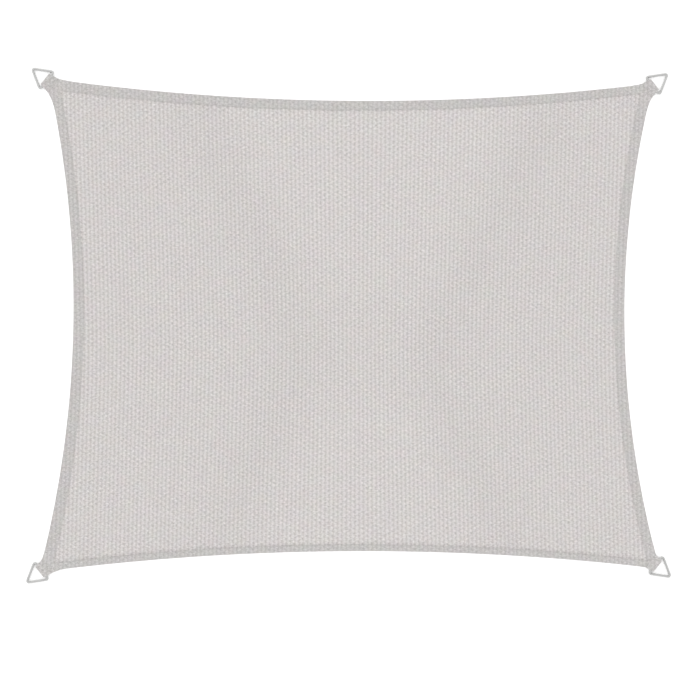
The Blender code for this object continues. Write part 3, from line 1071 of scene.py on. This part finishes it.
# ---- finishes ----
@dataclass(frozen=True)
class KnittedPolyethylene:
    """Warp-knitted polyethylene yarn: matt, warm light grey.

    Its chains of loops sway from side to side and nearly touch their neighbours in turn, which leaves a
    staggered pattern of small dark gaps between lighter ribs. The real gaps and loops are finer than these,
    which are drawn as coarse as they show in a picture of the whole sail.
    """

    name: str
    loop_colour: str  # sRGB colour of the chains
    gap_colour: str  # sRGB colour down in the gaps
    relief: float  # depth of the loops in metres
    sway: float = 0.114  # of a chain to each side, in rib pitches
    chain_core: float = 0.10  # half width of a chain's crown, in rib pitches
    chain_edge: float = 0.47  # half width of the whole chain
    loops_per_course: float = 6.0
    loop_slant: float = 2.4  # how many loops further down a leg's end would be in a rib pitch
    loop_depth: float = 0.9  # share of the relief that parts a loop from the next
    loop_round: float = 0.22  # how much of a loop is rounded off towards the next
    # Noise cells in a rib pitch along a loop's leg, in a loop across it, and from one leg to the next.
    yarn_cells: Place = (3.5, 2.0, 3.7)
    patch_scale: float = 6.0  # cells in a metre, as of the scale below
    tint_scale: float = 20.0
    loop_variation: float = 0.21  # full range of the tone of single loops' legs, few of which are bright
    evenness: float = 0.8  # how far a bright loop makes the one before it dark, so that no patch stands out
    yarn_variation: float = 0.95  # full range of the tone within a leg, most of which stays near its middle
    patch_variation: float = 0.02  # the same, of broad patches
    sway_shade: float = 0.048  # how much lighter a chain is where it sways right than in its middle
    painted_shading_amount: float = 0.022  # how much darker the painted shade makes the knit at full strength
    tint_shift: float = 0.022  # how far the yarn's lots part from each other in colour
    strand_scale: float = 3.0  # as many times finer: the yarn's own tapes, which only a close view shows
    strand_depth: float = 0.5  # share of the relief
    roughness: float = 0.78
    ior: float = 1.51
    sheen: float = 0.08

    def chains(self, add: Adder) -> tuple[Node, ...]:
        """The knit's relief.

        Args:
            add: the function that adds a node to the material.

        Returns:
            The height, from 0 to 1; a chain's swing, from -1 to 1; a random share for each leg of a loop;
            and coordinates that follow each leg's yarn.
        """
        knit_map = add("SeparateXYZ", {0: add("UVMap", uv_map="knit")})
        found = {"across": knit_map.outputs["X"], "up": knit_map.outputs["Y"]}
        for name, operation, *operands in (
            ("chain", "FLOOR", "across"),
            ("place", "SUBTRACT", "across", "chain"),
            ("turns", "MULTIPLY_ADD", "chain", 0.5, "up"),
            ("angle", "MULTIPLY", "turns", 2 * pi),
            ("swing", "COSINE", "angle"),
            ("centre", "MULTIPLY_ADD", "swing", self.sway, 0.5),
            ("offset", "SUBTRACT", "place", "centre"),
            ("off_centre", "ABSOLUTE", "offset"),
            ("slanted", "MULTIPLY", "off_centre", self.loop_slant),
            ("loop_run", "MULTIPLY_ADD", "up", self.loops_per_course, "slanted"),
            ("rise", "PINGPONG", "loop_run", 0.5),
            ("loop", "FLOOR", "loop_run"),
            ("side", "FLOOR", "offset"),
            ("leg", "MULTIPLY_ADD", "chain", 2.0, "side"),
        ):
            inputs = {index: found.get(operand, operand) for index, operand in enumerate(operands)}
            found[name] = add("Math", inputs, operation=operation)
        off_centre, loop_run, leg = found["off_centre"], found["loop_run"], found["leg"]
        body = add(
            "MapRange", {"Value": off_centre, "From Min": self.chain_edge, "From Max": self.chain_core},
            interpolation_type="SMOOTHSTEP",
        )
        yarn = add(
            "MapRange", {"Value": found["rise"], "From Max": self.loop_round, "To Min": 1 - self.loop_depth},
            interpolation_type="SMOOTHSTEP",
        )
        height = add("Math", {0: body, 1: yarn}, operation="MULTIPLY")
        bright = 0.0
        for further, amount in ((0.0, 1.0), (1.0, -self.evenness)):
            row = add("Math", {0: found["loop"], 1: further}, operation="ADD")
            which = add("CombineXYZ", {0: leg, 1: row})
            lot = add("TexWhiteNoise", {"Vector": which}, noise_dimensions="2D")
            squared = add("Math", {0: lot, 1: 2.0}, operation="POWER")
            bright = add("Math", {0: squared, 1: amount, 2: bright}, operation="MULTIPLY_ADD")
        lie = add("CombineXYZ", {0: off_centre, 1: loop_run, 2: leg})
        lie = add("VectorMath", {0: lie, 1: self.yarn_cells}, operation="MULTIPLY")
        return height, found["swing"], bright, lie

    def tone(self, add: Adder, swing: Node, lot: Node, lie: Node) -> Node:
        """How light each place is: single loops and yarns, broad patches, and painted shade and light read
        from the mesh.

        Args:
            add: the function that adds a node to the material.
            swing: how far a chain sways to the right, from -1 to 1.
            lot: the random share of each leg of a loop.
            lie: coordinates that follow each leg's yarn.

        Returns:
            A node with a factor about 1.
        """
        where = add("TexCoord").outputs["Object"]
        # The mean of a random share squared is a third, and that of a noise is a half.
        tone = 1 - self.loop_variation * (1 - self.evenness) / 3
        tone -= (self.yarn_variation + self.patch_variation) / 2
        yarns = add("TexNoise", {"Vector": lie, "Scale": 1.0, "Detail": 1.0})
        patches = add("TexNoise", {"Vector": where, "Scale": self.patch_scale, "Detail": 3.0})
        # Painted shade and light, read from the cloth's own attribute.
        painted_shading = add("Attribute", attribute_name="painted_shading").outputs["Fac"]
        for share, amount in (
            (swing, self.sway_shade),
            (lot, self.loop_variation),
            (yarns, self.yarn_variation),
            (patches, self.patch_variation),
            (painted_shading, -self.painted_shading_amount),
        ):
            tone = add("Math", {0: share, 1: amount, 2: tone}, operation="MULTIPLY_ADD")
        return tone

    def make(self) -> Material:
        """Builds the material.

        Returns:
            The material.
        """
        made, add, shader = new_material(self.name)
        height, swing, lot, lie = self.chains(add)
        colour = add(
            "Mix", {"Factor": height, MIX_FROM: linear(self.gap_colour), MIX_TO: linear(self.loop_colour)},
            data_type="RGBA",
        )
        where = add("TexCoord").outputs["Object"]
        tints = add("TexNoise", {"Vector": where, "Scale": self.tint_scale, "Detail": 2.0})
        tinted = add(
            "Mix", {"Factor": self.tint_shift, MIX_FROM: colour, MIX_TO: tints.outputs["Color"]},
            data_type="RGBA", blend_type="LINEAR_LIGHT",
        )
        toned = add("VectorMath", {0: tinted, "Scale": self.tone(add, swing, lot, lie)}, operation="SCALE")
        strands = add("TexNoise", {"Vector": lie, "Scale": self.strand_scale, "Detail": 2.0})
        relief = add("Math", {0: strands, 1: self.strand_depth, 2: height}, operation="MULTIPLY_ADD")
        feed(shader, {
            "Base Color": toned,
            "Normal": add("Bump", {"Height": relief, "Distance": self.relief, "Strength": 1.0}),
            "Roughness": self.roughness,
            "IOR": self.ior,
            "Sheen Weight": self.sheen,
        })
        return made


@dataclass(frozen=True)
class PolyesterThread:
    """Polyester sewing thread: a little lighter and glossier than the cloth, with a slanted twist."""

    colour: str = "D6D3CE"
    dark_colour: str = "B9B5B0"
    twist_pitch: float = 0.0016  # coarser than the real thread's, so that it shows close up
    twist_wander: float = 0.4
    relief: float = 0.0001
    roughness: float = 0.5

    def make(self) -> Material:
        """Builds the material.

        Returns:
            The material.
        """
        made, add, shader = new_material("twisted polyester thread")
        # A diagonal wave repeats every 2 pi / 10 at a scale of 1.
        scale = 2 * pi / 10 / self.twist_pitch
        twist = add(
            "TexWave",
            {"Vector": add("TexCoord").outputs["Object"], "Scale": scale, "Distortion": self.twist_wander},
            bands_direction="DIAGONAL",
        )
        colour = add(
            "Mix", {"Factor": twist, MIX_FROM: linear(self.dark_colour), MIX_TO: linear(self.colour)},
            data_type="RGBA",
        )
        bump = add("Bump", {"Height": twist, "Distance": self.relief, "Strength": 1.0})
        feed(shader, {"Base Color": colour, "Normal": bump, "Roughness": self.roughness})
        return made


@dataclass(frozen=True)
class StainlessWire:
    """Drawn stainless steel wire, tumbled after bending: pale neutral grey, satin, with faint fine marks."""

    colour: str = "C5C5C4"
    dull_colour: str = "BCBCBB"
    roughness: float = 0.30
    rough_spread: float = 0.10
    mark_scale: float = 260.0  # cells in a metre, so 4 mm long
    mark_depth: float = 0.00005
    mark_strength: float = 0.6
    stain_scale: float = 28.0  # cells in a metre, so 36 mm long

    def make(self) -> Material:
        """Builds the material.

        Returns:
            The material.
        """
        made, add, shader = new_material("stainless steel wire, satin")
        where = add("TexCoord").outputs["Object"]
        marks = add("TexNoise", {"Vector": where, "Scale": self.mark_scale, "Detail": 4.0, "Roughness": 0.6})
        stains = add("TexNoise", {"Vector": where, "Scale": self.stain_scale, "Detail": 2.0})
        low, high = self.roughness - self.rough_spread, self.roughness + self.rough_spread
        feed(shader, {
            "Base Color": add(
                "Mix", {"Factor": stains, MIX_FROM: linear(self.dull_colour), MIX_TO: linear(self.colour)},
                data_type="RGBA",
            ),
            "Roughness": add("MapRange", {"Value": marks, "To Min": low, "To Max": high}),
            "Normal": add("Bump", {
                "Height": marks, "Distance": self.mark_depth, "Strength": self.mark_strength,
            }),
            "Metallic": 1.0,
        })
        return made


# ---- studio ----
@dataclass(frozen=True)
class Studio:
    """A plain pale floor, soft light from all round with a little more from one side, and the camera."""

    floor_size: float = 60.0
    floor_gap: float = 0.0003  # below the cloth, so that the two faces don't coincide
    floor_colour: str = "FBFBFB"
    floor_roughness: float = 0.9
    floor_shine: float = 0.1
    floor_glow: float = 0.2  # lit from below like a light table, so that no shadow shows on it
    sky_strength: float = 0.99
    key_strength: float = 0.3
    key_spread: float = 80.0  # degrees across, as a wide soft box
    key_tilt: tuple[float, float] = (-38.0, -30.0)  # degrees about X and about Y
    key_height: float = 4.0
    view_centre: Point = (0.0058, -0.1008)
    view_width: float = 2.891  # metres across the picture
    lens: float = 85.0
    sensor: float = 36.0

    def build(self) -> None:
        """Adds the floor, the lights and the camera, and keeps tones as they are lit."""
        floor = add_object(
            "studio_floor", bpy.ops.mesh.primitive_plane_add, size=self.floor_size,
            location=(0, 0, -self.floor_gap),
        )
        paper, _, shader = new_material("matt white studio floor")
        feed(shader, {
            "Base Color": linear(self.floor_colour),
            "Roughness": self.floor_roughness,
            "Specular IOR Level": self.floor_shine,
            "Emission Color": WHITE,
            "Emission Strength": self.floor_glow,
        })
        floor.data.materials.append(paper)

        world = bpy.data.worlds.new("soft sky")
        world.use_nodes = True
        feed(world.node_tree.nodes["Background"], {"Color": WHITE, "Strength": self.sky_strength})
        bpy.context.scene.world = world

        tilt = (radians(self.key_tilt[0]), radians(self.key_tilt[1]), 0)
        key = add_object(
            "soft_key", bpy.ops.object.light_add, type="SUN", location=(0, 0, self.key_height), rotation=tilt
        )
        assign(key.data, energy=self.key_strength, angle=radians(self.key_spread))

        distance = self.view_width * self.lens / self.sensor
        camera = add_object(
            "camera_above", bpy.ops.object.camera_add, location=(*self.view_centre, distance),
            rotation=(0, 0, 0),
        )
        assign(camera.data, lens=self.lens, sensor_width=self.sensor)
        bpy.context.scene.camera = camera
        bpy.context.scene.view_settings.view_transform = "Standard"


def main() -> None:
    """Builds the sail, its wire triangles and the studio."""
    logging.basicConfig(level=logging.INFO, format="%(name)s: %(message)s")
    plan, folds, knit = SailPlan(), SoftFolds(), Knit()
    single = KnittedPolyethylene("knitted polyethylene, single", "DEDAD9", "C4BFBD", relief=0.0006)
    doubled = KnittedPolyethylene("knitted polyethylene, doubled", "CBC8C7", "BAB7B5", relief=0.0004)
    thread, steel = PolyesterThread().make(), StainlessWire().make()

    Studio().build()
    panel, hem, triangle = SailPanel(plan, folds, knit), SailHem(plan, knit), WireTriangle()
    stitching = HemStitching(plan, hem)
    panel_piece = panel.build()
    panel.dress(panel_piece, single.make(), "knitted_cloth", "sail_cloth")
    hem_piece = hem.build()
    hem.dress(hem_piece, doubled.make(), "knitted_cloth", "sail_cloth")
    stitches = stitching.build()
    stitching.dress(stitches, thread, "knitted_cloth")
    for name, corner in plan.corners.items():
        ring = triangle.build(f"wire_{name}", corner, hem.bar_height)
        triangle.dress(ring, steel, "steel_wire", f"ring_{name}")


if __name__ == "__main__":
    main()
